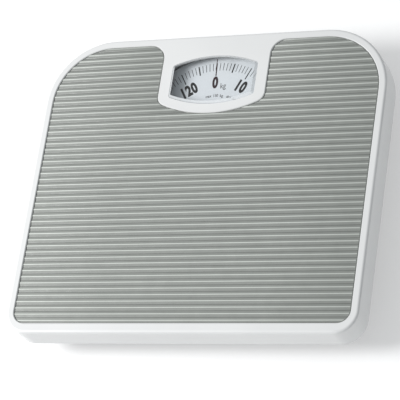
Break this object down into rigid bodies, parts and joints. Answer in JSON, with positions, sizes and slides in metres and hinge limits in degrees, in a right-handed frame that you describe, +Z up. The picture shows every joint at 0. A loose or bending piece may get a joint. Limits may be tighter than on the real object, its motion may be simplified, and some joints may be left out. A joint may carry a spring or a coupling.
{
  "type": "mechanical bathroom scale",
  "caption": "Low spring-and-lever personal scale: a ribbed mat on a white platform, and a dial that turns under a domed window as the platform sinks.",
  "frame": {"origin": "on the floor under the centre of the platform", "axes": "+X to the right, +Y towards the dial end where the toes are, +Z up"},
  "size_m": [0.266, 0.232, 0.0474],
  "materials": {
    "white_enamel": "smooth semi-gloss enamel",
    "grey_mat": "ribbed, satin",
    "clear_lens": "clear and polished",
    "index_red": "printed",
    "dial_face": "painted, printed divisions",
    "black_rubber": "moulded",
    "pan_enamel": "dark grey enamel",
    "black_plastic": "moulded, knurled rim",
    "brass": "turned",
    "bright_steel": "bright drawn",
    "zinc_steel": "zinc plated sheet"
  },
  "bodies": {
    "base": {"base_pan": "pan_enamel", "rubber_feet": "black_rubber", "bracket_rivets": "bright_steel", "mechanism_screws": "bright_steel", "spindle_bridge": "zinc_steel", "bridge_bush": "brass", "foot_bearing": "brass", "rack_guide": "black_plastic", "spring_hanger": "zinc_steel", "zero_screw": "bright_steel", "crank_bracket": "zinc_steel", "crank_pin": "bright_steel", "base_spring_hooks": "zinc_steel", "fulcrum_bracket_front_left": "zinc_steel", "fulcrum_bracket_front_right": "zinc_steel", "fulcrum_bracket_back_left": "zinc_steel", "fulcrum_bracket_back_right": "zinc_steel", "retaining_spring_left": "bright_steel", "retaining_spring_right": "bright_steel"},
    "platform": {"platform_shell": "white_enamel", "ribbed_mat": "grey_mat", "window_lens": "clear_lens", "index_line": "index_red", "deck_stiffeners": "zinc_steel", "platform_spring_hooks": "zinc_steel", "load_bracket_front_left": "zinc_steel", "load_bracket_front_right": "zinc_steel", "load_bracket_back_left": "zinc_steel", "load_bracket_back_right": "zinc_steel"},
    "dial": {"dial_disc": "dial_face", "dial_hub": "brass", "dial_spindle": "bright_steel", "pinion": "brass"},
    "long_lever_left": {"long_lever_left": "zinc_steel", "long_lever_knives_left": "zinc_steel", "coupling_bracket_left": "zinc_steel"},
    "long_lever_right": {"long_lever_right": "zinc_steel", "long_lever_knives_right": "zinc_steel", "coupling_bracket_right": "zinc_steel"},
    "short_lever_left": {"short_lever_left": "zinc_steel", "short_lever_knives_left": "zinc_steel"},
    "short_lever_right": {"short_lever_right": "zinc_steel", "short_lever_knives_right": "zinc_steel"},
    "nose": {"nose_plate": "zinc_steel", "spring_plug": "bright_steel", "calibration_tongue": "zinc_steel", "calibration_screw": "bright_steel", "main_spring": "bright_steel"},
    "crank": {"bell_crank": "zinc_steel"},
    "rack": {"rack_bar": "zinc_steel"},
    "zero_wheel": {"zero_wheel": "black_plastic"}
  },
  "joints": [
    {"name": "dial_turn", "type": "hinge", "parent": "base", "child": "dial", "pos_m": [0, 0.0382, 0.037], "axis": [0, 0, 1], "range_deg": [0, 360], "stiffness_Nm_per_rad": 0.0223, "springref_deg": -6.88},
    {"name": "platform_sink", "type": "slide", "parent": "base", "child": "platform", "axis": [0, 0, -1], "range_m": [0, 0.00068961], "deforming": ["retaining_spring_left", "retaining_spring_right"]},
    {"name": "long_lever_left_tilt", "type": "hinge", "parent": "base", "child": "long_lever_left", "pos_m": [-0.088, -0.084, 0.016], "axis": [-1, 0, 0], "range_deg": [0, 2.2]},
    {"name": "short_lever_left_tilt", "type": "hinge", "parent": "base", "child": "short_lever_left", "pos_m": [-0.088, 0.072, 0.016], "axis": [1, 0, 0], "range_deg": [0, 2.2]},
    {"name": "long_lever_right_tilt", "type": "hinge", "parent": "base", "child": "long_lever_right", "pos_m": [0.088, -0.084, 0.016], "axis": [-1, 0, 0], "range_deg": [0, 2.2]},
    {"name": "short_lever_right_tilt", "type": "hinge", "parent": "base", "child": "short_lever_right", "pos_m": [0.088, 0.072, 0.016], "axis": [1, 0, 0], "range_deg": [0, 2.2]},
    {"name": "nose_sink", "type": "slide", "parent": "base", "child": "nose", "axis": [0, 0, -1], "range_m": [0, 0.00629], "deforming": ["main_spring"]},
    {"name": "crank_swing", "type": "hinge", "parent": "base", "child": "crank", "pos_m": [0.009, 0.05, 0.0089], "axis": [-1, 0, 0], "range_deg": [0, 39.95]},
    {"name": "rack_slide", "type": "slide", "parent": "base", "child": "rack", "axis": [0, 1, 0], "range_m": [0, 0.01572]},
    {"name": "zero_wheel_turn", "type": "hinge", "parent": "base", "child": "zero_wheel", "pos_m": [0, 0.09, 0.033], "axis": [0, 0, 1], "range_deg": [-180, 180]}
  ],
  "couplings": [
    {"joint": "dial_turn", "follows": "platform_sink", "rad_per_m": 9111.1},
    {"joint": "nose_sink", "follows": "platform_sink", "ratio": 9.1111},
    {"joint": "crank_swing", "follows": "platform_sink", "rad_per_m": 1010.7},
    {"joint": "rack_slide", "follows": "platform_sink", "ratio": 22.778},
    {"joint": "long_lever_left_tilt", "follows": "platform_sink", "rad_per_m": 55.556},
    {"joint": "short_lever_left_tilt", "follows": "platform_sink", "rad_per_m": 55.556},
    {"joint": "long_lever_right_tilt", "follows": "platform_sink", "rad_per_m": 55.556},
    {"joint": "short_lever_right_tilt", "follows": "platform_sink", "rad_per_m": 55.556}
  ]
}
